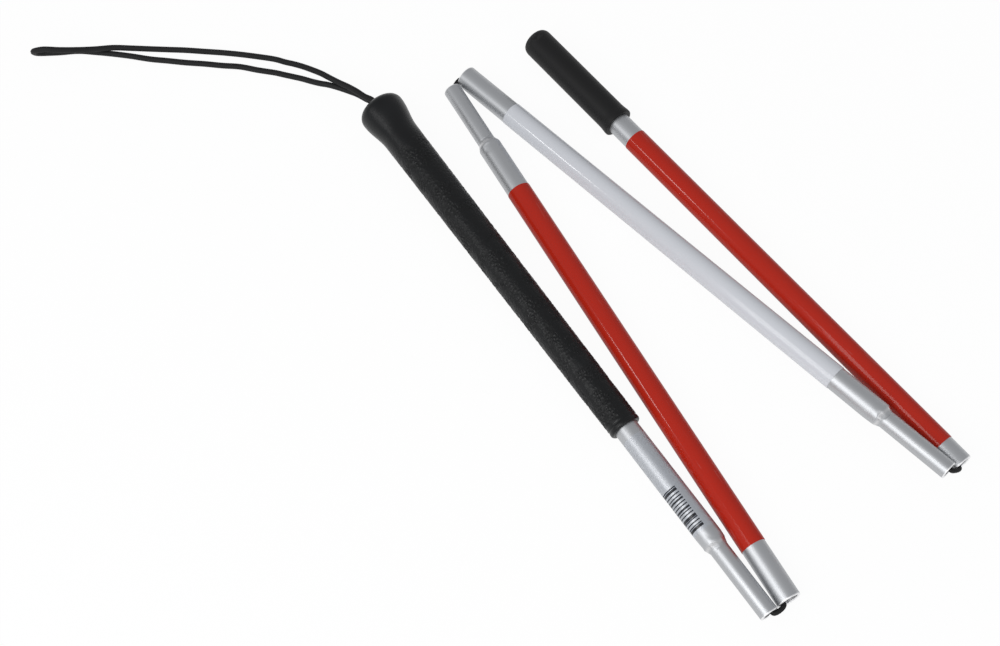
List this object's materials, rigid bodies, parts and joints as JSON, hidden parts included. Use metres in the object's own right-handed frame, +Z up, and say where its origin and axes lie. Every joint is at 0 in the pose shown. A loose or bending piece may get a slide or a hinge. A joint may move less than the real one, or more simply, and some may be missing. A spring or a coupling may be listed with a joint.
{
  "type": "folding mobility cane",
  "caption": "Folding mobility cane: aluminium tubes on an elastic cord, reflective tape, rubber golf-type grip, wrist loop and slip-on tip, lying folded in a zig-zag.",
  "frame": {"origin": "on the table, under the middle of the folded cane without its wrist loop", "axes": "+Z up from the table, +Y along the upper section from its open mouth towards its plug"},
  "size_m": [0.3116, 0.4764, 0.0254],
  "materials": {
    "grip_rubber": "matte, finely speckled",
    "grip_tape": "paper tape",
    "tube": "drawn, satin",
    "label_film": "clear film",
    "red_tape": "reflective tape, glossy",
    "white_tape": "reflective tape, glossy",
    "cord": "braided elastic",
    "cord_plug": "moulded",
    "tip_plastic": "moulded, matte"
  },
  "bodies": {
    "upper": {"upper_tube": "tube", "upper_tape": "red_tape", "upper_cord": "cord"},
    "link_1": {"fold_cord_1": "cord"},
    "handle": {"grip": "grip_rubber", "grip_tape": "grip_tape", "handle_tube": "tube", "handle_label": "label_film", "handle_plug": "cord_plug", "handle_cord_knot": "cord", "loop_knot": "cord", "wrist_loop": "cord", "handle_cord": "cord"},
    "link_2": {"fold_cord_2": "cord"},
    "middle": {"middle_tube": "tube", "middle_tape": "white_tape", "middle_cord": "cord"},
    "link_3": {"fold_cord_3": "cord"},
    "lower": {"lower_tube": "tube", "lower_tape": "red_tape", "lower_cord": "cord", "lower_plug": "cord_plug", "lower_cord_knot": "cord", "tip": "tip_plastic"}
  },
  "joints": [
    {"name": "plug_1", "type": "slide", "parent": "upper", "child": "link_1", "axis": [0, 1, 0], "range_m": [0, 0.0395], "deforming": ["fold_cord_1"]},
    {"name": "fold_1", "type": "hinge", "parent": "link_1", "child": "handle", "pos_m": [-0.03793, -0.16859, 0.00659], "axis": [0, -0.009, 1], "range_deg": [-2, 174.9], "deforming": ["fold_cord_1"]},
    {"name": "fold_2", "type": "hinge", "parent": "upper", "child": "link_2", "pos_m": [-0.02649, 0.1679, 0.00661], "axis": [-0.0027, 0.0097, 0.9999], "range_deg": [-2, 164.15], "deforming": ["fold_cord_2"]},
    {"name": "plug_2", "type": "slide", "parent": "link_2", "child": "middle", "axis": [-0.2731, 0.9618, -0.0199], "range_m": [0, 0.0395], "deforming": ["fold_cord_2"]},
    {"name": "fold_3", "type": "hinge", "parent": "middle", "child": "link_3", "pos_m": [0.07536, -0.15244, 0.00994], "axis": [-0.5467, -0.1303, -0.8271], "range_deg": [-2.2, 176.08], "deforming": ["fold_cord_3"]},
    {"name": "plug_3", "type": "slide", "parent": "link_3", "child": "lower", "axis": [0.1736, -0.9848, -0.0086], "range_m": [0, 0.0395], "deforming": ["fold_cord_3"]}
  ],
  "couplings": [
    {"joint": "fold_3", "follows": "fold_2", "ratio": 1.0727}
  ]
}
